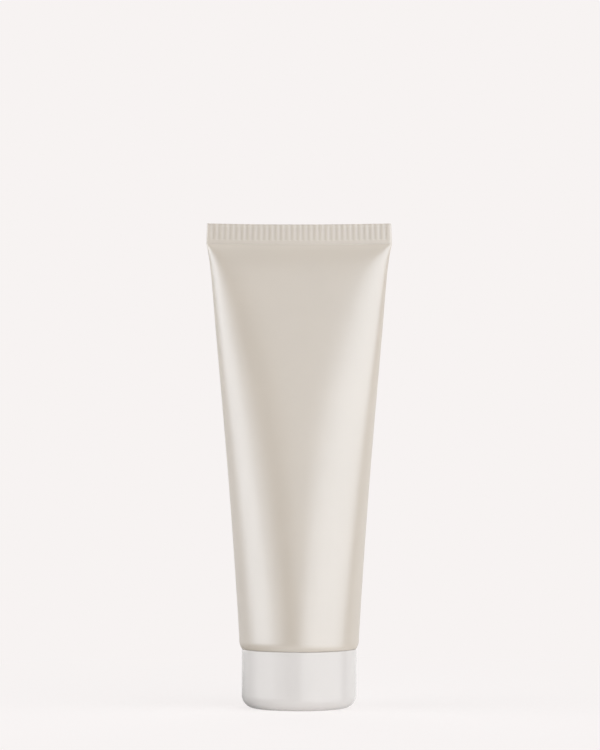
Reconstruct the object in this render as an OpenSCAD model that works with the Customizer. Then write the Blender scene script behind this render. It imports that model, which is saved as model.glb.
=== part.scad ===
// Squeeze tube for facial cleanser, standing on its screw cap.
// A plastic sleeve, round where it is welded to the moulded head and pressed flat into a
// ribbed heat seal at the other end, with a one-piece screw cap and its contents.
// Millimetres. The origin is at the centre of the cap's foot, +Z up, and the seal runs along X.

/* [Sleeve] */
// Outside diameter of the round part of the sleeve
tube_d = 40; // [35:1:50]
// Wall of the sleeve
wall = 0.5; // [0.4:0.05:0.7]
// Length of the sleeve from its cut lower end to its sealed end
sleeve_len = 141.6; // [110:0.1:170]
// How far the lower end is drawn in, which is also how far the cap stands in from the sleeve
edge_in = 0.85; // [0.5:0.05:1.2]
// Radius of the drawn-in edge
edge_r = 5.5; // [4.5:0.1:7]
// Height that stays round above the drawn-in edge
round_h = 1; // [0.5:0.1:8]
// How the sections turn from flat to round on the way down: 1 is evenly
taper = 1.07; // [0.9:0.01:1.3]
// How much rounder the filled sleeve is just below the seal
belly = 0.043; // [0:0.001:0.08]
// Distance below the seal at which this extra roundness is greatest
belly_drop = 10.5; // [6:0.5:20]

/* [Seal] */
// Height of the seal
seal_h = 6.9; // [5:0.1:10]
// Thickness of the seal, with both walls pressed together
seal_t = 0.9; // [0.8:0.05:1.1]
// Height of the plain land below the ribs
land_h = 1.4; // [0.8:0.1:2.5]
// Distance from one groove to the next
rib_pitch = 1.88; // [1.4:0.02:2.4]
// Width of a groove at half its depth
groove_w = 0.85; // [0.5:0.05:1]
// Depth of a groove
groove_depth = 0.16; // [0.08:0.01:0.2]
// Width of a groove's sloping side
groove_flank = 0.2; // [0.1:0.02:0.3]
// Height over which a groove runs out at the land
groove_runout = 0.35; // [0.2:0.05:0.8]
// Narrowest plain strip at each end of the seal
seal_margin = 0.8; // [0.6:0.1:2]
// How far the heat has drawn in each end of the seal
seal_shrink = 0.2; // [0:0.05:0.4]
// How much further each end is drawn in at the top edge
seal_narrow = 0.25; // [0:0.05:0.6]
// How far the middle of the seal dips below its ends
seal_dip = 0.35; // [0:0.05:1]

/* [Head] */
// Slope of the shoulder
shoulder_angle = 15; // [8:1:20]
// Wall of the shoulder
shoulder_t = 1.5; // [1.2:0.1:2]
// Wall of the welded band
weld_t = 1.1; // [0.8:0.1:1.5]
// Diameter of the neck at the root of its thread
neck_d = 13.6; // [12:0.2:16]
// Length of the neck from the shoulder to its end
neck_len = 11; // [9:0.5:13]
// Fillet where the neck meets the shoulder
neck_fillet = 0.5; // [0.2:0.1:0.7]
// Bore of the neck
neck_bore = 10.4; // [9:0.2:11]
// Hole in the end of the neck
orifice_d = 4.7; // [3.5:0.1:6]
// Thickness of the end of the neck around the hole
orifice_t = 1.4; // [1.2:0.1:2]

/* [Cap] */
// Height of the cap
cap_h = 19.7; // [18:0.1:26]
// Wall of the skirt and thickness of the foot
cap_wall = 1.2; // [0.9:0.1:1.6]
// Rounding of the foot's edge
foot_round = 4.3; // [3:0.1:6]
// Rounding of the rim's outer edge
rim_round = 0.3; // [0.1:0.05:0.5]
// Wall of the threaded hub
hub_wall = 1.2; // [0.9:0.1:1.6]
// Wall of the ring that the end of the neck stops on
stop_wall = 1; // [0.8:0.1:1.3]
// Wall of the plug ring that closes the hole in the neck
plug_wall = 0.8; // [0.6:0.1:1]
// How far the plug ring reaches into the hole
plug_reach = 1; // [0.6:0.1:1.1]
// Number of webs between the hub and the skirt
web_count = 4; // [3:1:8]
// Thickness of a web
web_t = 0.8; // [0.6:0.1:1.2]
// Height of a web above the foot's inner face
web_h = 5; // [3:0.5:8]

/* [Contents] */
// Empty height between the cleanser and the seal
headspace = 14; // [5:1:30]

/* [Clearances] */
// Gap between the sleeve's lower end and the cap's rim
seam_gap = 0.3; // [0.2:0.05:0.5]
// Gap between the welded band and the sleeve
weld_gap = 0.05; // [0.03:0.01:0.1]
// Gap between the shoulder and the inside of the cap's rim
mouth_gap = 0.6; // [0.4:0.1:1]
// Room for both threads between the neck and the hub
thread_room = 0.85; // [0.8:0.05:1.1]
// Gap between the hub's rim and the shoulder
hub_gap = 0.6; // [0.4:0.1:1]
// Gap around the plug ring in the hole of the neck
plug_gap = 0.1; // [0.05:0.01:0.2]
// Gap between the cleanser and the walls
fill_gap = 0.1; // [0.05:0.01:0.2]

/* [Hidden] */

body_rows = 17;
cavity_rows = 11;
path_steps = 6;
edge_rows = 4;
fill_columns = 44;
fill_rows = 11;
row_spread = 1.8;
round_fn = 96;
embed = 0.1;

// Heights of the sleeve, worked up from the cap
tube_r = tube_d / 2;
sleeve_z = cap_h + seam_gap;
edge_h = sqrt(pow(edge_r, 2) - pow(edge_r - edge_in, 2));
round_z = sleeve_z + edge_h + round_h;
top_z = sleeve_z + sleeve_len;
seal_z = top_z - seal_h;
taper_h = seal_z - round_z;

// The girth at the middle of the wall is the same at every height
mid_r = tube_r - wall / 2;
quarter_girth = PI / 2 * mid_r;
// The sine integral of a right angle, which gives a nearly flat section its depth
SINE_INTEGRAL = 1.3708;
// The higher this is, the sooner the sleeve regains its girth below the seal
SHRINK_FADE = 20;
seal_roundness = (seal_t - wall) / 2 / SINE_INTEGRAL / quarter_girth;
cavity_drop = 1.2 * wall;
fold_l = 0.4;

// Grooves across half of the seal, and the columns that run down between them
half_ribs = floor((quarter_girth - seal_margin) / rib_pitch);
ribs = 2 * half_ribs;
half_columns = ribs + 4;
half_fine = 5 * ribs + 4;

// Inner sizes of the cap and the head
cap_r = tube_r - edge_in;
shoulder_r = cap_r - cap_wall - mouth_gap;
neck_r = neck_d / 2;
neck_z = sleeve_z - (shoulder_r - neck_r) * tan(shoulder_angle);
neck_end_z = neck_z - neck_len;
bore_r = neck_bore / 2;
band_r = mid_r - wall / 2 - weld_gap;
band_in_r = band_r - weld_t;
hub_in_r = neck_r + thread_room;
hub_r = hub_in_r + hub_wall;
hub_z = shoulder_under_z(hub_r) - hub_gap;
stop_r = bore_r + stop_wall / 2;
plug_r = orifice_d / 2 - plug_gap;

// Height of the shoulder's underside at a radius
function shoulder_under_z(r) = sleeve_z - (shoulder_r - r) * tan(shoulder_angle);

// Height of the shoulder's upper face at a radius
function shoulder_over_z(r) = shoulder_under_z(r) + shoulder_t / cos(shoulder_angle);

// Points of an arc in the plane of a turned outline
function arc(centre, r, from, to, steps = 6) =
    [for (i = [0:steps]) let (a = from + (to - from) * i / steps) centre + r * [cos(a), sin(a)]];

// Roundness of the section at a share s of the way down from the seal: 0 is flat and 1 is round
function roundness(s) =
    let (drop = s * taper_h / belly_drop)
    min(1, seal_roundness + (1 - seal_roundness) * pow(s, taper) + belly * drop * exp(1 - drop));

// Direction of the wall, in degrees away from the seal's, at a distance l from the front's middle.
// It always reaches 90 at the side, so every section has the same girth.
function turn(l, w) = 90 * pow(l / quarter_girth, 1 / w);

// Step from one distance to the next along a section, summed in short straight pieces
function step_along(from, to, w) =
    let (h = (to - from) / path_steps)
    h * [for (i = [1:path_steps]) 1]
        * [for (i = [1:path_steps]) let (a = turn(from + (i - 0.5) * h, w)) [cos(a), sin(a)]];

// Quarter of a section from the front's middle to the side, as [x, depth, distance] at each of ls
function quarter(ls, w, out) =
    let (
        n = len(ls),
        path = [for (i = 0, p = [0, 0]; i < n;
            p = i < n - 1 ? p + step_along(ls[i], ls[i + 1], w) : p, i = i + 1) p],
        side = path[n - 1][1]
    )
    [for (i = [0:n - 1]) let (a = turn(ls[i], w))
        [path[i][0] + out * sin(a), side - path[i][1] + out * cos(a), ls[i]]];

// Front half of a section from its left fold to its right side, with the front facing -Y
function half(quarter) =
    concat(
        [for (i = [len(quarter) - 2:-1:1]) [-quarter[i][0], -quarter[i][1], quarter[i][2]]],
        [for (p = quarter) [p[0], -p[1], p[2]]]
    );

// Distances along the girth of the columns in a quarter
columns = concat(
    [for (j = [0:half_ribs]) j * rib_pitch],
    [quarter_girth - fold_l, quarter_girth]
);
fill_columns_l = [for (j = [0:fill_columns / 4]) 4 * j / fill_columns * quarter_girth];

// Height lost to the dip of the seal, which fades out down the sleeve
function dip(l, s) = seal_dip * (1 - pow(l / quarter_girth, 2)) * pow(1 - s, 2);

// A whole ring from the points of its front half: the back half is the same, turned round
function whole(front) = concat(front, [for (p = front) [-p[0], -p[1], p[2]]]);

// Share of its full width that the sleeve keeps, at a share t up the seal or a share s down from it
function narrowing(t, s = 0) =
    1 - (seal_shrink * pow(1 - s, SHRINK_FADE) + t * seal_narrow) / quarter_girth;

// Ring of the tapering part of the sleeve, out from the middle of the wall
function taper_ring(ls, s, out) =
    whole([for (p = half(quarter(ls, roundness(s), out)))
        [p[0] * narrowing(0, s), p[1], seal_z - s * taper_h - dip(p[2], s)]]);

// Round ring with its columns at the same shares of the girth
function round_ring(ls, r, z) =
    whole([for (p = half(quarter(ls, 1, 0))) r * [p[0], p[1], 0] / norm([p[0], p[1]]) + [0, 0, z]]);

// Front half of the seal's section, before its grooves
function seal_half() = half(quarter(columns, seal_roundness, wall / 2));

// Ring of the seal at a share t of the way up its height, with plain faces
function land_ring(t) =
    whole([for (p = seal_half()) [p[0] * narrowing(t), p[1], seal_z + t * seal_h - dip(p[2], 0)]]);

// The points that one groove adds between two columns
function groove_points(j) =
    let (mid = (j - half_ribs - 0.5) * rib_pitch, half = groove_w / 2, flank = groove_flank / 2)
    [[mid - half - flank, 0], [mid - half + flank, 1], [mid + half - flank, 1], [mid + half + flank, 0]];

// Ring of the seal with its grooves
function rib_ring(t) =
    let (front = seal_half(), narrow = narrowing(t), z = seal_z + t * seal_h)
    whole([for (j = [0:half_columns - 1])
        let (p = front[j])
        each concat(
            [[p[0] * narrow, p[1], z - dip(p[2], 0)]],
            j > 0 && j <= ribs
                ? [for (g = groove_points(j))
                    [g[0] * narrow, g[1] * groove_depth - seal_t / 2, z - dip(g[0], 0)]]
                : []
        )]);

// Place of a column in the half ring that has the grooves
function fine_place(j) = j == 0 ? 0 : j <= ribs + 1 ? 5 * j - 4 : 4 * ribs + j;

// Walls between rings of n points that follow each other, starting at point number at
function walls(rings, n, at = 0) =
    [for (k = [0:rings - 2], j = [0:n - 1])
        let (a = at + k * n + j, b = at + k * n + (j + 1) % n)
        each [[a, a + n, b + n], [a, b + n, b]]];

// Lid across a ring of 2 * m points, as a strip between its front and back halves
function lid(m, at) =
    concat(
        [[at + m - 2, at + m - 1, at + m], [at + 2 * m - 2, at + 2 * m - 1, at]],
        [for (j = [0:m - 3]) each [
            [at + j, at + j + 1, at + 2 * m - 3 - j],
            [at + j, at + 2 * m - 3 - j, at + 2 * m - 2 - j]
        ]]
    );

function turned(faces) = [for (f = faces) [f[2], f[1], f[0]]];

// Walls from a ring with one point a column to the ring above it that has the grooves
function groove_walls(at, fine_at) =
    [for (h = [0:1], j = [0:half_columns - 1])
        let (
            a = at + h * half_columns + j,
            b = at + (h * half_columns + j + 1) % (2 * half_columns),
            first = h * half_fine + fine_place(j),
            steps = j > 0 && j <= ribs ? 5 : 1,
            split = ceil(steps / 2),
            up = [for (i = [0:steps]) fine_at + (first + i) % (2 * half_fine)]
        )
        each concat(
            [for (i = [0:split - 1]) [a, up[i], up[i + 1]]],
            [[a, up[split], b]],
            split < steps ? [for (i = [split:steps - 1]) [b, up[i], up[i + 1]]] : []
        )];

// Radius and height of the drawn-in edge, i steps up from the lower end, out from the wall's outside
function edge_point(i, out) =
    let (z = edge_h * (1 - i / edge_rows))
    [tube_r - edge_r + sqrt(pow(edge_r + out, 2) - pow(z, 2)), sleeve_z + edge_h - z];

function edge_rings(out, steps) =
    [for (i = steps) let (p = edge_point(i, out)) round_ring(columns, p[0], p[1])];

module tube_sleeve() {
    // One chain of rings: down the inside, round the lower end and up the outside
    first = cavity_drop / taper_h;
    inside = [for (i = [0:cavity_rows])
        taper_ring(columns, first + (1 - first) * pow(i / cavity_rows, row_spread), -wall / 2)];
    outside = [for (i = [body_rows:-1:0]) taper_ring(columns, pow(i / body_rows, row_spread), wall / 2)];
    chain = concat(
        inside,
        edge_rings(-wall, [edge_rows:-1:0]),
        edge_rings(0, [0:edge_rows]),
        outside,
        [land_ring(land_h / seal_h)]
    );
    fine = [rib_ring((land_h + groove_runout) / seal_h), rib_ring(1)];
    n = 2 * half_columns;
    last = (len(chain) - 1) * n;
    fine_at = last + n;
    color([0.82, 0.78, 0.74])
        polyhedron(
            points = [for (ring = concat(chain, fine), p = ring) p],
            faces = concat(
                lid(half_columns, 0),
                walls(len(chain), n),
                groove_walls(last, fine_at),
                walls(2, 2 * half_fine, fine_at),
                turned(lid(half_fine, fine_at + 2 * half_fine))
            ),
            convexity = 6
        );
}

module tube_head() {
    edge_out = edge_r - wall - weld_gap;
    edge_angle = asin(edge_h / edge_out);
    outline = concat(
        [[orifice_d / 2, neck_end_z], [neck_r, neck_end_z]],
        arc([neck_r + neck_fillet, neck_z - neck_fillet * (1 - tan(shoulder_angle))],
            neck_fillet, 180, 90 + shoulder_angle, 4),
        [[shoulder_r, sleeve_z]],
        arc([tube_r - edge_r, sleeve_z + edge_h], edge_out, -edge_angle, 0),
        [
            [band_r, round_z],
            [band_in_r, round_z],
            [band_in_r, shoulder_over_z(band_in_r)],
            [bore_r, shoulder_over_z(bore_r)],
            [bore_r, neck_end_z + orifice_t],
            [orifice_d / 2, neck_end_z + orifice_t]
        ]
    );
    color([0.9, 0.89, 0.87]) rotate_extrude($fn = round_fn) polygon(outline);
}

// Half section of a cup of radius r with a rounded foot edge, from z up to the rim
module cup_section(r, z, edge, rim) {
    translate([0, z]) square([r - edge, cap_h - z]);
    translate([0, z + edge]) square([r, cap_h - rim - z - edge]);
    translate([r - edge, z + edge]) circle(edge, $fn = round_fn);
    if (rim > 0) {
        translate([r - edge - embed, cap_h - rim - embed]) square([edge - rim + embed, rim + embed]);
        translate([r - rim, cap_h - rim]) circle(rim, $fn = round_fn);
    }
}

// Section of a ring that stands on the inside of the cap's foot
module ring_section(outer, thickness, top) {
    translate([outer - thickness, cap_wall - embed]) square([thickness, top - cap_wall + embed]);
}

module cap_section() {
    difference() {
        cup_section(cap_r, 0, foot_round, rim_round);
        cup_section(cap_r - cap_wall, cap_wall, foot_round - cap_wall, 0);
    }
    ring_section(hub_r, hub_wall, hub_z);
    ring_section(stop_r, stop_wall, neck_end_z);
    ring_section(plug_r, plug_wall, neck_end_z + plug_reach);
}

// Section of a web, cut to the rounded inside of the skirt that it stands against
module web_section() {
    intersection() {
        cup_section(cap_r - cap_wall / 2, cap_wall / 2, foot_round - cap_wall / 2, 0);
        translate([hub_r - embed, cap_wall - embed])
            square([cap_r - hub_r, web_h + embed]);
    }
}

module screw_cap() {
    color([0.93, 0.92, 0.91]) {
        rotate_extrude($fn = round_fn) cap_section();
        for (i = [0:web_count - 1])
            rotate((i + 0.5) * 360 / web_count)
                rotate([90, 0, 0])
                    translate([0, 0, -web_t / 2])
                        linear_extrude(web_t) web_section();
    }
}

module cleanser() {
    inner = -wall / 2 - fill_gap;
    first = headspace / taper_h;
    turned_part = [
        [bore_r - fill_gap, neck_end_z + orifice_t + fill_gap],
        [bore_r - fill_gap, shoulder_over_z(bore_r) + fill_gap],
        [band_in_r - fill_gap, shoulder_over_z(band_in_r) + fill_gap],
        [band_in_r - fill_gap, round_z + fill_gap]
    ];
    rings = concat(
        [for (p = turned_part) round_ring(fill_columns_l, p[0], p[1])],
        [for (i = [fill_rows:-1:0])
            let (s = first + (1 - first - fill_gap / taper_h) * pow(i / fill_rows, row_spread))
            taper_ring(fill_columns_l, s, inner)]
    );
    n = fill_columns;
    color([0.96, 0.95, 0.92])
        polyhedron(
            points = [for (ring = rings, p = ring) p],
            faces = concat(
                lid(n / 2, 0),
                walls(len(rings), n),
                turned(lid(n / 2, (len(rings) - 1) * n))
            ),
            convexity = 4
        );
}

tube_sleeve();
tube_head();
screw_cap();
cleanser();
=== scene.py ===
"""Looks for a squeeze tube that stands on its screw cap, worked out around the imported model.

The sleeve is drawn as one fine shell that narrows from a ring to a ribbed heat seal without
changing its girth. The moulded head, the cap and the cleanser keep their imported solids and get
their own plastics, and the neck and the cap's hub get the threads that hold them together.
"""

import math

import bmesh
import bpy
import numpy as np
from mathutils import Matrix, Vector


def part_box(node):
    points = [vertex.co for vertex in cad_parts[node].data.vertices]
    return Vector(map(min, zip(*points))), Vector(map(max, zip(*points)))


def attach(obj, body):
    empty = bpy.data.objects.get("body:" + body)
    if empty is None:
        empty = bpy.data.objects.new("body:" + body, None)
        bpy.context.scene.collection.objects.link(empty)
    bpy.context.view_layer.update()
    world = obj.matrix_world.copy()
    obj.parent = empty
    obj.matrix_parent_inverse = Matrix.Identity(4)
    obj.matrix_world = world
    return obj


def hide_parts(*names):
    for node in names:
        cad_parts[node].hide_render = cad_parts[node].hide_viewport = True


bl_info = {
    "name": "Squeeze Tube",
    "version": (1, 0, 0),
    "blender": (4, 5, 0),
    "location": "View3D > Sidebar > Squeeze Tube",
    "description": "Fine sleeve, threads, plastics and studio for a packed squeeze tube",
    "category": "Object",
}

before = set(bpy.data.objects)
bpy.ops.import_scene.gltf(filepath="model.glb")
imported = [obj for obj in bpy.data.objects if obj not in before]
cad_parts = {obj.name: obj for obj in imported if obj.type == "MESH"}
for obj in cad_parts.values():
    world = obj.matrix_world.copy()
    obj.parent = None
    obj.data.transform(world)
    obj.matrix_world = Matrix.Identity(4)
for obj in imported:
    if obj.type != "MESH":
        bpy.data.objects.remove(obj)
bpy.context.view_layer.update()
SLEEVE_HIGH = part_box("tube_sleeve")[1]
HEAD_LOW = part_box("tube_head")[0]
CAP_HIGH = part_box("screw_cap")[1]

MM = 0.001
HALF_TURN = math.pi
QUARTER_TURN = math.pi / 2
# The sine integral of a right angle, which gives a nearly flat section its depth
SINE_INTEGRAL = 1.3708
# Painted light and shade on the satin, where 1 is the painted shade at a groove's bottom: the painted
# highlight between the grooves, the painted shade on the line along the seal's foot, and the painted
# highlight in the band of skin below that line
PAINTED_PLATEAU_HIGHLIGHT, PAINTED_LINE_SHADE, PAINTED_BAND_HIGHLIGHT = -0.2, 0.8, -0.9
# Closer points of a new mesh than this are one point
SAME_PLACE = 0.00001 * MM
LAMP_COLOUR = (0.967, 0.981, 1)
# Each softbox: its level's setting, its azimuth in degrees to the right of the camera, its width,
# the heights of its edges, how far it stands from the tube, and whether gloss sees it
SOFTBOXES = {
    "right_softbox": ("right_level", 48.7, 1.94, -0.6, 1.19, 1.0, True),
    "left_softbox": ("left_level", -72.0, 1.84, -0.25, 0.94, 1.0, True),
    "left_softbox_middle": ("left_middle", -73.2, 0.84, -0.25, 0.94, 0.98, True),
    "back_softbox": ("back_level", 180, 1.2, -0.2, 1.1, 1.0, False),
    "low_fill": ("low_level", 50, 1.2, -1.3, -0.5, 0.5, False),
}
# The painted shadow behind the tube's left: the way it falls and the way across it, and the darkest
# that gloss sees in it. Beside the foot's left lies a spot of painted shade that throws less light up.
SHADE_WAY, SHADE_ACROSS, SHADE_LEVEL = (-0.54, 0.84, 0), (0.84, 0.54, 0), 0.4
PAINTED_SPOT_MIDDLE, PAINTED_SPOT_LEVEL = (-0.022, 0.002, 0), 0.4


def length(name, description, default, low, high):
    return bpy.props.FloatProperty(
        name=name, description=description, default=default, min=low, max=high, unit="LENGTH", precision=5
    )


def ratio(name, description, default, low=0.0, high=1.0):
    return bpy.props.FloatProperty(
        name=name, description=description, default=default, min=low, max=high, precision=3
    )


def count(name, description, default, low, high):
    return bpy.props.IntProperty(name=name, description=description, default=default, min=low, max=high)


def paint(name, description, levels):
    """A colour property whose default is given as the levels from 0 to 255 that a screen shows."""
    return bpy.props.FloatVectorProperty(
        name=name, description=description, default=screen(levels), min=0, max=1, size=3, subtype="COLOR"
    )


def screen(levels):
    """Scene colour of a screen colour: its levels through the screen's own curve, backwards."""
    share = np.array(levels) / 255
    return tuple(np.where(share > 0.04045, ((share + 0.055) / 1.055) ** 2.4, share / 12.92).tolist())


class SleeveSettings(bpy.types.PropertyGroup):
    diameter: length("Diameter", "Outside diameter where the sleeve is round", 0.04, 0.03, 0.06)
    wall: length("Wall", "Thickness of the sleeve's wall", 0.0005, 0.0003, 0.001)
    low_z: length("Lower end", "Height of the cut lower end", CAP_HIGH.z + 0.06 * MM, 0.0, 0.1)
    top_z: length("Upper end", "Height of the sealed end", SLEEVE_HIGH.z, 0.1, 0.25)
    edge_in: length("Edge drawn in", "How far the lower end is drawn in", 0.00085, 0.0, 0.003)
    edge_radius: length("Edge radius", "Radius of the drawn-in edge", 0.0055, 0.002, 0.01)
    round_height: length("Round height", "Height that stays round above the edge", 0.001, 0.0, 0.02)
    taper: ratio("Taper", "How the sections turn from flat to round: 1 is evenly", 1.07, 0.7, 1.5)
    belly: ratio("Belly", "Extra roundness of the filled sleeve just below the seal", 0.043, 0.0, 0.1)
    belly_drop: length("Belly drop", "How far below the seal that is greatest", 0.0105, 0.002, 0.03)
    body_rows: count("Body rows", "Rings of points down the body", 60, 20, 160)


class SealSettings(bpy.types.PropertyGroup):
    height: length("Height", "Height of the heat seal", 0.0069, 0.003, 0.012)
    thickness: length("Thickness", "Both walls pressed together", 0.0009, 0.0006, 0.002)
    land: length("Land", "Plain land below the ribs", 0.0014, 0.0, 0.004)
    rib_pitch: length("Rib pitch", "Distance from one groove to the next", 0.00188, 0.001, 0.004)
    groove_width: length("Groove width", "Width of a groove at half its depth", 0.0009, 0.0003, 0.002)
    groove_depth: length("Groove depth", "Depth of a groove", 0.000035, 0.0, 0.0003)
    groove_flank: length("Groove flank", "Width of a groove's sloping side", 0.0006, 0.0001, 0.0009)
    run_out: length("Run-out", "Height over which a groove runs out at the land", 0.00035, 0.0001, 0.001)
    crease: length("Crease", "Depth of the line pressed along the seal's foot", 0.00005, 0.0, 0.0002)
    crease_width: length("Crease width", "Half the width of that line", 0.00022, 0.0001, 0.001)
    margin: length("Margin", "Narrowest plain strip at each end", 0.0008, 0.0, 0.004)
    shrink: length("Shrink", "How far the heat has drawn in each end", 0.0002, 0.0, 0.001)
    narrow: length("Narrow", "How much further each end is drawn in at the top", 0.00025, 0.0, 0.001)
    dip: length("Dip", "How far the middle hangs below the ends", 0.00035, 0.0, 0.002)
    cut_round: length("Cut edge", "Rounding of the cut upper edge", 0.00008, 0.00002, 0.0002)


class ThreadSettings(bpy.types.PropertyGroup):
    pitch: length("Pitch", "Rise of the thread in one turn", 0.003, 0.0015, 0.005)
    turns: ratio("Turns", "Turns of each ridge", 1.75, 0.5, 3.0)
    depth: length("Depth", "Height of a ridge above its wall", 0.00062, 0.0003, 0.001)
    root: length("Root width", "Width of a ridge at its wall", 0.0013, 0.0006, 0.002)
    crest: length("Crest width", "Width of a ridge at its crest", 0.00055, 0.0002, 0.001)
    neck_radius: length("Neck radius", "Radius of the neck's wall", 0.0068, 0.005, 0.01)
    hub_radius: length("Hub radius", "Inner radius of the cap's hub", 0.00765, 0.005, 0.012)
    start: length("Start", "Height of the start of the neck's ridge above the neck's end", 0.0022, 0.001, 0.006)


class FinishSettings(bpy.types.PropertyGroup):
    sleeve: paint("Sleeve", "Pearl satin of the sleeve", (193, 181.5, 166))
    cap: paint("Cap", "Gloss white of the screw cap", (209, 205, 201.5))
    head: paint("Head", "Natural white of the moulded head", (226, 223, 217))
    cream: paint("Cleanser", "Colour of the cleanser", (240, 237, 228))
    sleeve_roughness: ratio("Sleeve roughness", "How far the satin spreads a highlight", 0.38)
    cap_roughness: ratio("Cap roughness", "How far the gloss spreads a highlight", 0.22)


class StageSettings(bpy.types.PropertyGroup):
    backdrop: paint("Backdrop", "Pale colour around the object", (247, 243, 242))
    distance: length("Camera distance", "From the camera to the tube's axis", 1.35, 0.5, 5.0)
    eye_z: length("Camera height", "Height of the level camera", 0.111, 0.0, 1.0)
    eye_x: length("Camera offset", "How far the camera stands to the right", 0.0003, -0.1, 0.1)
    scale_px: ratio("Pixels a millimetre", "Scale of the picture at the tube's axis", 2.995, 1.0, 10.0)
    right_level: ratio("Right light", "Brightness of the right softbox", 1.95, 0.0, 20.0)
    left_level: ratio("Left light", "Brightness of the left softbox", 1.08, 0.0, 20.0)
    left_middle: ratio("Left middle", "Extra brightness of the left softbox's middle", 1.25, 0.0, 20.0)
    back_level: ratio("Back light", "Brightness of the softbox behind the tube", 1.2, 0.0, 20.0)
    low_level: ratio("Low light", "Brightness of the low fill light at the right", 1.3, 0.0, 20.0)
    room_level: ratio("Room light", "Brightness of the room around and above", 0.22, 0.0, 2.0)
    below_level: ratio("Light from below", "Brightness of the floor as gloss sees it", 0.75, 0.0, 2.0)
    behind_level: ratio("Pale behind", "Brightness that gloss sees behind the tube", 0.9, 0.0, 2.0)
    front_level: ratio("Dark front", "Brightness that gloss sees in front of the tube", 0.04)
    floor_seen: ratio("Floor colour", "Brightness of the floor's colour, as a share of the backdrop's",
                      1.08, 0.0, 1.2)
    floor_light: ratio("Floor light", "How bright the lit floor is, as a share of the backdrop", 0.78, 0.0, 1.2)


def smooth_step(share):
    """Smooth rise from 0 to 1: 3 times the square less 2 times the cube, held level outside."""
    share = np.clip(share, 0, 1)
    return share * share * (3 - 2 * share)


def mesh_object(name, points, faces, material, flat_angle=None, **marks):
    """An object from an array of points and an array of four-cornered faces. Points that no face
    uses are left out, and points in one place are merged, so that the tips have no empty faces.
    Each mark is a number at every point, which the material may read."""
    used, faces_in = np.unique(faces, return_inverse=True)
    points, faces = points.reshape(-1, 3)[used], faces_in.reshape(faces.shape)
    mesh = bpy.data.meshes.new(name)
    mesh.vertices.add(len(points))
    mesh.vertices.foreach_set("co", points.ravel())
    mesh.loops.add(faces.size)
    mesh.loops.foreach_set("vertex_index", faces.ravel())
    mesh.polygons.add(len(faces))
    mesh.polygons.foreach_set("loop_start", np.arange(0, faces.size, faces.shape[1]))
    mesh.update(calc_edges=True)
    if mesh.validate(verbose=True):
        raise RuntimeError(f"{name} has broken faces")
    mesh.shade_smooth()
    if flat_angle is not None:
        mesh.set_sharp_from_angle(angle=flat_angle)
    for mark, values in marks.items():
        mesh.attributes.new(mark, "FLOAT", "POINT").data.foreach_set("value", values.ravel()[used])
    form = bmesh.new()
    form.from_mesh(mesh)
    bmesh.ops.remove_doubles(form, verts=form.verts, dist=SAME_PLACE)
    form.to_mesh(mesh)
    form.free()
    mesh.materials.append(material)
    piece = bpy.data.objects.new(name, mesh)
    bpy.context.scene.collection.objects.link(piece)
    return piece


def grid_faces(index):
    """Four-cornered faces between rows and columns of point numbers, facing out when the rows
    go down and the columns go round to the left-hand side of up."""
    a, b = index[:-1], index[1:]
    return np.stack([a[:, :-1], b[:, :-1], b[:, 1:], a[:, 1:]], axis=-1).reshape(-1, 4)


def wall_path(lengths, roundness, quarter):
    """Middle line of the wall over a quarter of each section, from the front's middle to the side.

    At a length l along the section the wall has turned away from the seal's direction by a right
    angle times (l / quarter) to the power 1 / roundness. x and depth are the running sums of that
    turn's cosine and sine, so every section has the same girth: a roundness of 1 gives a circle
    and one near 0 gives two flat walls with a tight fold at the side.
    """
    parts = 6
    spans = np.diff(lengths)
    middles = lengths[:-1, None] + spans[:, None] * (np.arange(parts) + 0.5) / parts
    power = 1 / roundness[:, None]
    turn = QUARTER_TURN * (middles / quarter) ** power[..., None]
    start = np.zeros((len(roundness), 1))
    x = np.hstack([start, np.cumsum((np.cos(turn).sum(-1) * spans / parts), axis=1)])
    run = np.hstack([start, np.cumsum((np.sin(turn).sum(-1) * spans / parts), axis=1)])
    return x, run[:, -1:] - run, QUARTER_TURN * (lengths / quarter) ** power


def column_lengths(seal, quarter):
    """Distances of the columns from the front's middle: ten to a rib, set close at the flanks of
    its groove, and closer and closer together towards the fold at the side."""
    half_ribs = int((quarter - seal.margin) / seal.rib_pitch)
    groove, flank = seal.groove_width / 2, seal.groove_flank / 2
    out = groove + flank * np.linspace(-1, 1, 5)
    offsets = np.concatenate([-out[::-1], [0], out, [seal.rib_pitch / 2]])
    middles = (np.arange(half_ribs) + 0.5) * seal.rib_pitch
    ribbed = (middles[:, None] + offsets).ravel()
    end = half_ribs * seal.rib_pitch
    steps = 14
    fold = quarter - (quarter - end) * (1 - np.arange(1, steps + 1) / steps) ** 2.2
    return np.concatenate([[0], ribbed, fold]), middles


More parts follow.
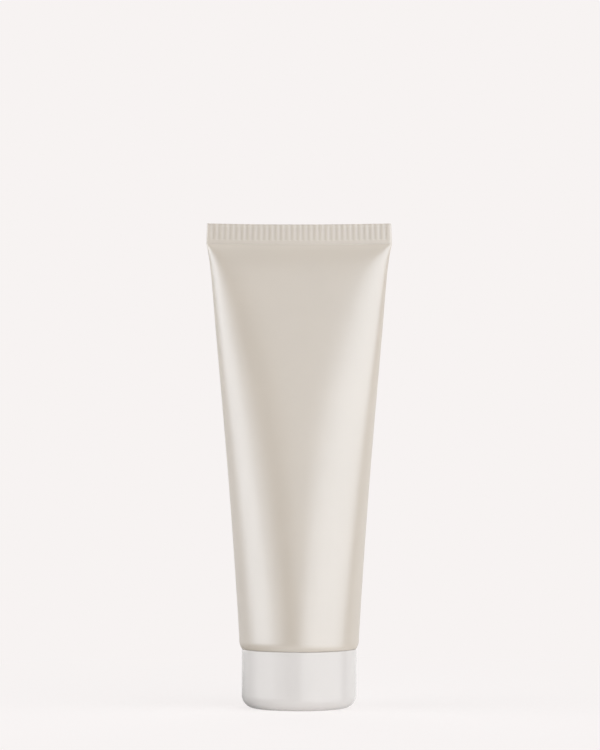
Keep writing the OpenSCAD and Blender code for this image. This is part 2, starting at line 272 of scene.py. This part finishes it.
def sleeve_rings(sleeve, seal):
    """Points of the sleeve's shell as rings, from the cut upper edge down the outside, round the
    lower end and up the inside.

    The share s runs from 0 at the foot of the seal to 1 where the sleeve turns round. The
    roundness of a section is s to the power taper, plus a belly that rises and dies away as
    d times e to the power 1 - d, where d is the drop below the seal as a share of belly_drop.
    """
    radius, wall = sleeve.diameter / 2, sleeve.wall
    middle = radius - wall / 2
    quarter = QUARTER_TURN * middle
    seal_z = sleeve.top_z - seal.height
    edge_height = math.sqrt(sleeve.edge_radius**2 - (sleeve.edge_radius - sleeve.edge_in) ** 2)
    round_z = sleeve.low_z + edge_height + sleeve.round_height
    taper_height = seal_z - round_z
    flat = (seal.thickness - wall) / 2 / SINE_INTEGRAL / quarter
    lengths, grooves = column_lengths(seal, quarter)
    reach = lengths / quarter

    def taper_rows(s, out):
        """x, depth and height of the rings at the shares s, out from the middle of the wall."""
        drop = s * taper_height / sleeve.belly_drop
        roundness = flat + (1 - flat) * s**sleeve.taper + sleeve.belly * drop * np.exp(1 - drop)
        x, depth, turn = wall_path(lengths, np.minimum(roundness, 1), quarter)
        kept = 1 - seal.shrink * (1 - s[:, None]) ** 20 / quarter
        z = seal_z - s[:, None] * taper_height - seal.dip * (1 - reach**2) * (1 - s[:, None]) ** 2
        return (x + out * np.sin(turn)) * kept, depth + out * np.cos(turn), z

    def seal_rows(heights, inset=0.0):
        """x, depth and height of the seal's rings at heights above its foot. A groove is as deep
        as the smooth step across its flank, times the smooth step over its run-out. The line
        along the foot is e to the power less the square of the height above its middle, as a
        share of its width. The inset draws a ring in where the cut edge is rounded. The last
        array is the satin's painted shading: painted shade in the grooves and on the line, and a
        painted highlight between the grooves."""
        x, depth, z = taper_rows(np.zeros(len(heights)), wall / 2)
        rise = heights[:, None]
        inset = inset + 0 * rise
        x = x * (1 - seal.narrow * rise / seal.height / quarter - inset / quarter)
        near = np.abs(lengths[:, None] - grooves).min(axis=1)
        cut = smooth_step((seal.groove_width / 2 + seal.groove_flank / 2 - near) / seal.groove_flank)
        groove = cut * smooth_step((rise - seal.land) / seal.run_out)
        line = np.exp(-(((rise - seal.crease_width) / seal.crease_width) ** 2)) + 0 * groove
        depth = depth - seal.groove_depth * groove - seal.crease * line
        # Painted shade in the grooves and on the line, and painted highlight between the grooves
        tint = groove + PAINTED_PLATEAU_HIGHLIGHT * (1 - groove) + PAINTED_LINE_SHADE * line
        return x, depth * (1 - 2 * inset / seal.thickness), z + rise, tint

    def round_rows(r, z):
        """x, depth and height of round rings, with the columns at their shares of the girth."""
        turn = QUARTER_TURN * reach
        return r[:, None] * np.sin(turn), r[:, None] * np.cos(turn), z[:, None] + 0 * turn

    def edge_rows(out, angles):
        """Rings of the drawn-in edge: an arc of the edge's radius, out from the wall's outside."""
        r = sleeve.edge_radius + out
        height = sleeve.low_z + edge_height - r * np.sin(angles)
        return round_rows(radius - sleeve.edge_radius + r * np.cos(angles), height)

    # The cut upper edge: a fine weld line between the two walls, then a rounded corner
    corner = np.radians([90, 60, 30, 0])
    inset = seal.cut_round * (1 - np.cos(corner))
    top = seal_rows(seal.height - seal.cut_round * (1 - np.sin(corner)), inset[:, None])
    cut = seal_rows(np.full(3, seal.height), seal.cut_round)
    weld = np.array([0, 0.1, 0.35])[:, None]
    cut = cut[0], cut[1] * weld, cut[2] - 0.6 * seal.cut_round * (weld == 0), cut[3]
    ribs = seal_rows(np.linspace(seal.height - 3 * seal.cut_round, seal.land + seal.run_out, 4))
    run_out = seal_rows(seal.land + seal.run_out * np.linspace(0.85, 0, 6))
    land = seal_rows(np.append(0.7 * seal.land, seal.crease_width * np.linspace(2.5, 0.25, 9)))
    shares = np.linspace(0, 1, sleeve.body_rows) ** 1.9
    body = taper_rows(shares, wall / 2)
    # The painted shade of the line goes on below the seal, and the band of painted highlight is three
    # widths of the line below the foot
    drop = shares[:, None] * taper_height / seal.crease_width
    line = np.exp(-((drop + 1) ** 2)) + 0 * body[0]
    band = np.exp(-((drop / 3 - 1) ** 2))
    body = body[0], body[1] - seal.crease * line, body[2], PAINTED_LINE_SHADE * line + PAINTED_BAND_HIGHLIGHT * band
    full = math.acos((sleeve.edge_radius - sleeve.edge_in) / sleeve.edge_radius)
    edge = edge_rows(0, full * np.linspace(0, 0.97, 9))
    end_out = radius - sleeve.edge_in
    chamfer = np.array([0.05, 0.2, 0.8, 0.95]) * wall
    end = round_rows(end_out - chamfer, sleeve.low_z + np.array([0.05, 0, 0, 0.05]) * wall)
    inner_full = math.asin(edge_height / (sleeve.edge_radius - wall))
    inner_edge = edge_rows(-wall, inner_full * np.linspace(0.93, 0, 5))
    first = 1.2 * wall / taper_height
    inside = taper_rows(first + (1 - first) * np.linspace(1, 0, 14) ** 1.8, -wall / 2)
    ceiling = tuple(part[-1:] for part in inside)
    ceiling = ceiling[0], 0 * ceiling[1], ceiling[2]
    bands = [cut, top, ribs, run_out, land, body, edge, end, inner_edge, inside, ceiling]
    bands = [(*band, np.zeros_like(band[0]))[:4] for band in bands]
    return [np.vstack([band[k] for band in bands]) for k in range(4)]


def sleeve_shell(sleeve, seal):
    """Points and faces of the sleeve, and the satin's painted shade and highlight at each point. Each
    ring goes along the front from the left fold to the right one and back behind, as the mirror
    image of the quarter that the rings give. The first and last rings are lines, where the front and
    the back share their points."""
    x, depth, z, pressed = sleeve_rings(sleeve, seal)
    last = x.shape[1] - 1
    column = np.concatenate([np.arange(-last, last + 1), np.arange(last - 1, -last, -1)])
    behind = np.where(np.arange(len(column)) > 2 * last, 1, -1)
    away = np.abs(column)
    points = np.stack([np.sign(column) * x[:, away], behind * depth[:, away], z[:, away]], axis=-1)
    index = np.arange(points.shape[0] * points.shape[1]).reshape(points.shape[:2])
    around = len(column)
    front = np.where(np.arange(around) > 2 * last, around - np.arange(around), np.arange(around))
    index[0], index[-1] = index[0][front], index[-1][front]
    return points, grid_faces(np.hstack([index, index[:, :1]])), pressed[:, away]


def thread_ridge(thread, radius, start_z, outwards, start_angle=0.0):
    """Points and faces of a thread's ridge on a round wall.

    The angle and the height grow together, by one pitch a turn. Across the ridge the profile is
    a trapezoid with its root inside the wall, and over the last eighth of a turn at each end the
    ridge sinks into the wall as a smooth step.
    """
    rows = int(96 * thread.turns)
    turn = np.linspace(0, thread.turns, rows)
    runs = smooth_step(np.minimum(turn, thread.turns - turn) / 0.125)
    root, crest = thread.root / 2, thread.crest / 2
    soft = (root - crest) / 6
    across = np.array([-root, -crest - soft, -crest + soft, crest - soft, crest + soft, root, root, -root])
    up = np.array([0, 0.9, 1, 1, 0.9, 0, -0.35, -0.35])
    rise = np.where(up > 0, up * runs[:, None] - 0.02 * (1 - runs[:, None]), up) * thread.depth
    r = radius + (rise if outwards else -rise)
    a = start_angle + 2 * HALF_TURN * turn[:, None]
    z = start_z + thread.pitch * turn[:, None] + across
    points = np.stack([r * np.cos(a), r * np.sin(a), z], axis=-1)
    index = np.arange(points.shape[0] * points.shape[1]).reshape(points.shape[:2])
    faces = grid_faces(np.hstack([index, index[:, :1]]))
    first, final = index[0], index[-1]
    ends = np.array([
        [first[5], first[6], first[7], first[0]], [first[0], first[1], first[4], first[5]],
        [first[1], first[2], first[3], first[4]],
        [final[0], final[7], final[6], final[5]], [final[5], final[4], final[1], final[0]],
        [final[4], final[3], final[2], final[1]],
    ])
    faces = np.vstack([faces, ends])
    return points, faces if outwards else faces[:, ::-1]


class Nodes:
    """The nodes of a material or a world, added and joined by name."""

    def __init__(self, owner, output="ShaderNodeOutputMaterial"):
        owner.use_nodes = True
        self.owner = owner
        self.tree = owner.node_tree
        self.tree.nodes.clear()
        self.output = self.add(output)

    def add(self, kind, links=None, values=None, **settings):
        made = self.tree.nodes.new(kind)
        for key, value in settings.items():
            setattr(made, key, value)
        for key, value in (values or {}).items():
            made.inputs[key].default_value = value
        for key, source in (links or {}).items():
            self.tree.links.new(source, made.inputs[key])
        return made

    def place(self):
        return self.add("ShaderNodeTexCoord").outputs["Object"]

    def sum_up(self, operation, first, second):
        """The result of a sum on two sources, such as MAXIMUM or MULTIPLY."""
        return self.add("ShaderNodeMath", {0: first, 1: second}, operation=operation).outputs["Value"]

    def rays(self):
        """1 for what gloss sees, and 1 for what the camera and glass see, or else 0."""
        ray = self.add("ShaderNodeLightPath").outputs
        return ray["Is Glossy Ray"], self.sum_up("MAXIMUM", ray["Is Camera Ray"], ray["Is Transmission Ray"])

    def along(self, place, aim, low, high):
        """From 0 to 1 as the place's distance along the aim goes from low to high."""
        made = self.add("ShaderNodeVectorMath", {0: place}, {1: aim}, operation="DOT_PRODUCT")
        return self.between(made.outputs["Value"], 0, 1, low, high)

    def noise(self, scale, stretch=(1, 1, 1), detail=2.0, rough=0.5):
        """Noise of that many cells a metre in the object's own coordinates."""
        moved = self.add("ShaderNodeMapping", {"Vector": self.place()}, {"Scale": stretch})
        made = self.add(
            "ShaderNodeTexNoise", {"Vector": moved.outputs["Vector"]},
            {"Scale": scale, "Detail": detail, "Roughness": rough},
        )
        return made.outputs["Fac"]

    def between(self, source, low, high, from_low=0.25, from_high=0.75):
        made = self.add(
            "ShaderNodeMapRange", {"Value": source},
            {"From Min": from_low, "From Max": from_high, "To Min": low, "To Max": high},
        )
        return made.outputs["Result"]

    def mix(self, source, low, high):
        """From the low colour to the high one, as the source goes from 0 to 1. Either may be the
        result of another node."""
        made = self.add("ShaderNodeMix", {"Factor": source}, data_type="RGBA")
        for key, colour in (("A", low), ("B", high)):
            if isinstance(colour, bpy.types.NodeSocket):
                self.tree.links.new(colour, made.inputs[key])
            else:
                made.inputs[key].default_value = [*colour, 1]
        return made.outputs["Result"]

    def shaded(self, source, colour, darker, lighter):
        """The colour, from darker to lighter times itself as the source goes from 0 to 1."""
        return self.mix(source, *([min(1, c * share) for c in colour] for share in (darker, lighter)))

    def bump(self, source, distance, strength=1.0, below=None):
        links = {"Height": source}
        if below is not None:
            links["Normal"] = below
        made = self.add("ShaderNodeBump", links, {"Strength": strength, "Distance": distance})
        return made.outputs["Normal"]

    def end(self, shader):
        self.tree.links.new(shader, self.output.inputs["Surface"])
        return self.owner

    def finish(self, links, values):
        return self.end(self.add("ShaderNodeBsdfPrincipled", links, values).outputs["BSDF"])


def plastic(name):
    return Nodes(bpy.data.materials.new(name))


def pearl_satin(finish):
    """Extruded sleeve: a pale pearl satin with faint lines along the extrusion, a fine tooth that
    softens its highlights, and a slow clouding of the pearl pigment. Its high IOR and bluish
    specular tint stand in for the pigment's shine. Painted shade darkens the grooves and the line
    along the seal's foot, and a painted highlight lightens the skin between the grooves and in a
    band below that line."""
    satin = plastic("pearl_satin")
    cloud = satin.noise(55, detail=3.0)
    lines = satin.noise(1400, stretch=(1, 1, 0.025), detail=2.0)
    tooth = satin.noise(5200, detail=2.0, rough=0.6)
    # The seal's painted shade and highlight, read from the sleeve's mesh
    pressed = satin.add("ShaderNodeAttribute", attribute_name="pressed").outputs["Fac"]
    tint = satin.between(pressed, -0.11, 0.11, -1, 1)
    shade = satin.sum_up("SUBTRACT", satin.between(cloud, 0.2, 0.3), tint)
    colour = satin.shaded(shade, finish.sleeve, 0.9, 1.3)
    rough = finish.sleeve_roughness
    roughness = satin.between(lines, rough - 0.03, rough + 0.03)
    drawn = satin.bump(lines, 0.000004)
    return satin.finish(
        {"Base Color": colour, "Roughness": roughness, "Normal": satin.bump(tooth, 0.000003, below=drawn)},
        {"IOR": 2.55, "Specular Tint": (0.86, 0.92, 1.0, 1.0)},
    )


def gloss_white(finish):
    """Injection-moulded cap: a gloss white with a slight waviness from the mould's polish."""
    gloss = plastic("gloss_white")
    cloud = gloss.noise(80)
    wave = gloss.noise(240, detail=1.0)
    grain = gloss.noise(3800)
    rough = finish.cap_roughness
    return gloss.finish(
        {
            "Base Color": gloss.shaded(gloss.between(cloud, 0, 1), finish.cap, 0.992, 1.008),
            "Roughness": gloss.between(grain, rough - 0.02, rough + 0.03),
            "Normal": gloss.bump(grain, 0.000001, below=gloss.bump(wave, 0.00001)),
        },
        {"IOR": 1.49},
    )


def natural_white(finish):
    """Moulded head: a natural white polyethylene, duller than the cap, with a fine tooth."""
    natural = plastic("natural_white")
    cloud = natural.noise(120)
    tooth = natural.noise(2600)
    return natural.finish(
        {
            "Base Color": natural.shaded(natural.between(cloud, 0, 1), finish.head, 0.985, 1.01),
            "Roughness": natural.between(tooth, 0.34, 0.44),
            "Normal": natural.bump(tooth, 0.000005),
        },
        {"IOR": 1.53},
    )


def cleanser_cream(finish):
    """Thick cleanser: a wet, off-white cream with soft folds."""
    cream = plastic("cleanser_cream")
    fold = cream.noise(260, detail=1.0)
    return cream.finish(
        {
            "Base Color": cream.shaded(cream.between(fold, 0, 1), finish.cream, 0.98, 1.01),
            "Roughness": cream.between(fold, 0.16, 0.26),
            "Normal": cream.bump(fold, 0.0002),
        },
        {"IOR": 1.4},
    )


def made_once(name, maker):
    """The material of that name, made the first time that it is asked for."""
    return bpy.data.materials.get(name) or maker(bpy.context.scene.tube_finish)


def dress(node, material):
    """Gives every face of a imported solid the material."""
    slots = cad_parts[node].data.materials
    slots.clear()
    slots.append(material)


class OBJECT_OT_tube_sleeve(bpy.types.Operator):
    """Draw the sleeve as one fine shell with its ribbed heat seal"""

    bl_idname = "object.tube_sleeve"
    bl_label = "Sleeve"

    def execute(self, context):
        scene = context.scene
        points, faces, pressed = sleeve_shell(scene.tube_sleeve, scene.tube_seal)
        satin = made_once("pearl_satin", pearl_satin)
        # Each point of the sleeve carries the satin's painted shade and highlight
        skin = mesh_object("sleeve_skin", points, faces, satin, math.radians(50), pressed=pressed)
        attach(skin, "tube")
        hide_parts("tube_sleeve")
        return {"FINISHED"}


class OBJECT_OT_tube_threads(bpy.types.Operator):
    """Wind the threads on the neck and inside the cap's hub"""

    bl_idname = "object.tube_threads"
    bl_label = "Threads"

    def execute(self, context):
        thread = context.scene.tube_thread
        start = HEAD_LOW.z + thread.start
        points, faces = thread_ridge(thread, thread.neck_radius, start, True)
        neck = mesh_object(
            "neck_thread", points, faces, made_once("natural_white", natural_white), math.radians(40)
        )
        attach(neck, "tube")
        points, faces = thread_ridge(thread, thread.hub_radius, start + thread.pitch / 2, False)
        hub = mesh_object("hub_thread", points, faces, made_once("gloss_white", gloss_white), math.radians(40))
        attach(hub, "cap")
        return {"FINISHED"}


class OBJECT_OT_tube_mouldings(bpy.types.Operator):
    """Give the head, the cap and the cleanser their finishes"""

    bl_idname = "object.tube_mouldings"
    bl_label = "Mouldings and cleanser"

    def execute(self, context):
        dress("tube_head", made_once("natural_white", natural_white))
        dress("screw_cap", made_once("gloss_white", gloss_white))
        dress("cleanser", made_once("cleanser_cream", cleanser_cream))
        return {"FINISHED"}


def board(name, reach, z, material):
    """A flat square floor on a grid that is fine in the middle: a place is the cube of its share
    of the way out, times the reach."""
    across = reach * np.linspace(-1, 1, 41) ** 3
    x, y = np.meshgrid(across, across[::-1])
    index = np.arange(x.size).reshape(x.shape)
    return mesh_object(name, np.stack([x, y, z + 0 * x], axis=-1), grid_faces(index), material)


def softbox(name, level, azimuth, width, low, high, away, in_gloss):
    """An upright rectangular light that looks at the tube from an azimuth in degrees to the right
    of the camera. Its power is its level times pi times its area."""
    turned = math.radians(azimuth)
    light = bpy.data.lights.new(name, "AREA")
    light.shape = "RECTANGLE"
    light.size, light.size_y = width, high - low
    light.energy = level * math.pi * light.size * light.size_y
    light.color = LAMP_COLOUR
    box = bpy.data.objects.new(name, light)
    bpy.context.scene.collection.objects.link(box)
    box.location = (away * math.sin(turned), -away * math.cos(turned), (low + high) / 2)
    box.rotation_euler = (QUARTER_TURN, 0, turned)
    box.visible_camera = False
    box.visible_glossy = in_gloss


class SCENE_OT_tube_stage(bpy.types.Operator):
    """Set the pale floor, the soft lights and the camera"""

    bl_idname = "scene.tube_stage"
    bl_label = "Stage"

    def execute(self, context):
        stage = context.scene.tube_stage
        self.floor(stage)
        self.room(stage)
        for name, (level, *place) in SOFTBOXES.items():
            softbox(name, getattr(stage, level), *place)
        self.camera(stage)
        return {"FINISHED"}

    def shade(self, pale, place):
        """1 in the painted shadow behind the tube's left, which fades at its sides and away from the tube,
        and 1 on the spot of painted shade beside the foot's left."""
        back, across_back = ([-part for part in way] for way in (SHADE_WAY, SHADE_ACROSS))
        side = pale.sum_up(
            "MINIMUM",
            pale.along(place, SHADE_ACROSS, -0.04, -0.022),
            pale.along(place, across_back, -0.025, 0.005),
        )
        behind = pale.sum_up("MULTIPLY", side, pale.along(place, SHADE_WAY, -0.01, 0.01))
        behind = pale.sum_up("MULTIPLY", behind, pale.along(place, back, -0.35, -0.05))
        spot = pale.add("ShaderNodeVectorMath", {0: place}, {1: PAINTED_SPOT_MIDDLE}, operation="DISTANCE")
        return behind, pale.between(spot.outputs["Value"], 1, 0, 0.005, 0.024)

    def floor(self, stage):
        """The floor is lit as a pale board is, and throws its light up at the tube, less of it
        from the spot of painted shade beside the foot's left. The camera sees a part of that light, with the
        tube's shadow, over a glow of the backdrop's colour, and away from the tube the glow
        alone, so that no horizon shows. Gloss looks through it, but for the painted shadow behind the
        tube's left."""
        pale = plastic("pale_board")
        place = pale.place()
        gloss, direct = pale.rays()
        shade, spot = self.shade(pale, place)
        away = pale.add("ShaderNodeVectorMath", {0: place}, operation="LENGTH").outputs["Value"]
        hidden = pale.sum_up("MULTIPLY", direct, pale.between(away, 0.7, 1, 0.05, 0.24))
        board_colour = [min(1, part * stage.floor_seen) for part in stage.backdrop]
        # The light that the floor throws up is darkened with painted shade on the spot beside the foot's left
        under = pale.mix(direct, pale.mix(spot, board_colour, [PAINTED_SPOT_LEVEL] * 3), board_colour)
        lit = pale.add("ShaderNodeBsdfDiffuse", {"Color": pale.mix(hidden, under, (0, 0, 0))})
        share = pale.sum_up("MULTIPLY", direct, pale.between(hidden, 1 - stage.floor_light, 1, 0, 1))
        glow = pale.add("ShaderNodeEmission", {"Strength": share}, {"Color": [*stage.backdrop, 1]})
        both = pale.add("ShaderNodeAddShader", {0: lit.outputs["BSDF"], 1: glow.outputs["Emission"]})
        # Gloss sees a painted shadow on the floor behind the tube's left
        clear_colour = pale.mix(shade, (1, 1, 1), [SHADE_LEVEL] * 3)
        clear = pale.add("ShaderNodeBsdfTransparent", {"Color": clear_colour})
        parts = {0: gloss, 1: both.outputs["Shader"], 2: clear.outputs["BSDF"]}
        pale.end(pale.add("ShaderNodeMixShader", parts).outputs["Shader"])
        floor = board("floor", 30, -0.00005, pale.owner)
        floor.visible_shadow = False

    def room(self, stage):
        """The room lights the tube evenly. Gloss sees it pale behind and overhead, less so below
        and to the right of the camera, and dark in front, and the camera sees the backdrop's
        colour in it."""
        room = Nodes(bpy.data.worlds.new("room"), "ShaderNodeOutputWorld")
        towards = room.place()
        gloss, direct = room.rays()
        behind = room.sum_up(
            "MULTIPLY",
            room.along(towards, (0.08, 0.997, 0), 0.35, 0.5),
            room.along(towards, (0, 0, 1), -0.45, -0.2),
        )
        pale = room.sum_up("MAXIMUM", behind, room.along(towards, (0, 0, 1), 0.7, 0.84))
        below = room.sum_up(
            "MULTIPLY",
            room.along(towards, (0, 0, -1), 0.25, 0.45),
            room.along(towards, (0.7, -0.7, 0), -1.1, 0.1),
        )
        mirrored = room.sum_up(
            "MAXIMUM",
            room.between(pale, stage.front_level, stage.behind_level, 0, 1),
            room.between(below, stage.front_level, stage.below_level, 0, 1),
        )
        unseen = room.mix(gloss, [stage.room_level] * 3, mirrored)
        shown = room.mix(direct, unseen, stage.backdrop)
        room.end(room.add("ShaderNodeBackground", {"Color": shown}).outputs["Background"])
        bpy.context.scene.world = room.owner

    def camera(self, stage):
        """A level camera with a long lens: its focal length in pixels is the picture's scale
        times the distance, and 750 pixels are the sensor's 36 mm."""
        lens = bpy.data.cameras.new("camera")
        lens.sensor_width = 36
        lens.lens = stage.scale_px / MM * stage.distance / 750 * lens.sensor_width
        lens.clip_start, lens.clip_end = 0.05, 100
        camera = bpy.data.objects.new("camera", lens)
        bpy.context.scene.collection.objects.link(camera)
        camera.location = (stage.eye_x, -stage.distance, stage.eye_z)
        camera.rotation_euler = (QUARTER_TURN, 0, 0)
        bpy.context.scene.camera = camera
        bpy.context.scene.view_settings.view_transform = "Standard"


class VIEW3D_PT_squeeze_tube(bpy.types.Panel):
    """The tube's pieces and stage"""

    bl_label = "Squeeze Tube"
    bl_space_type = "VIEW_3D"
    bl_region_type = "UI"
    bl_category = "Squeeze Tube"

    def draw(self, context):
        for name, title, operators in PANEL_ROWS:
            box = self.layout.box()
            box.label(text=title)
            settings = getattr(context.scene, name)
            for key in settings.bl_rna.properties.keys():
                if key not in ("rna_type", "name"):
                    box.prop(settings, key)
            for operator in operators:
                box.operator(operator)


PANEL_ROWS = (
    ("tube_sleeve", "Sleeve", ()),
    ("tube_seal", "Heat seal", ("object.tube_sleeve",)),
    ("tube_thread", "Threads", ("object.tube_threads",)),
    ("tube_finish", "Finishes", ("object.tube_mouldings",)),
    ("tube_stage", "Stage", ("scene.tube_stage",)),
)
SETTINGS = {
    "tube_sleeve": SleeveSettings,
    "tube_seal": SealSettings,
    "tube_thread": ThreadSettings,
    "tube_finish": FinishSettings,
    "tube_stage": StageSettings,
}
CLASSES = (
    *SETTINGS.values(),
    OBJECT_OT_tube_sleeve,
    OBJECT_OT_tube_threads,
    OBJECT_OT_tube_mouldings,
    SCENE_OT_tube_stage,
    VIEW3D_PT_squeeze_tube,
)


def register():
    for cls in CLASSES:
        bpy.utils.register_class(cls)
    for name, settings in SETTINGS.items():
        setattr(bpy.types.Scene, name, bpy.props.PointerProperty(type=settings))


def unregister():
    for name in SETTINGS:
        delattr(bpy.types.Scene, name)
    for cls in reversed(CLASSES):
        bpy.utils.unregister_class(cls)


def main():
    register()
    bpy.ops.object.tube_sleeve()
    bpy.ops.object.tube_threads()
    bpy.ops.object.tube_mouldings()
    bpy.ops.scene.tube_stage()


if __name__ == "__main__":
    main()
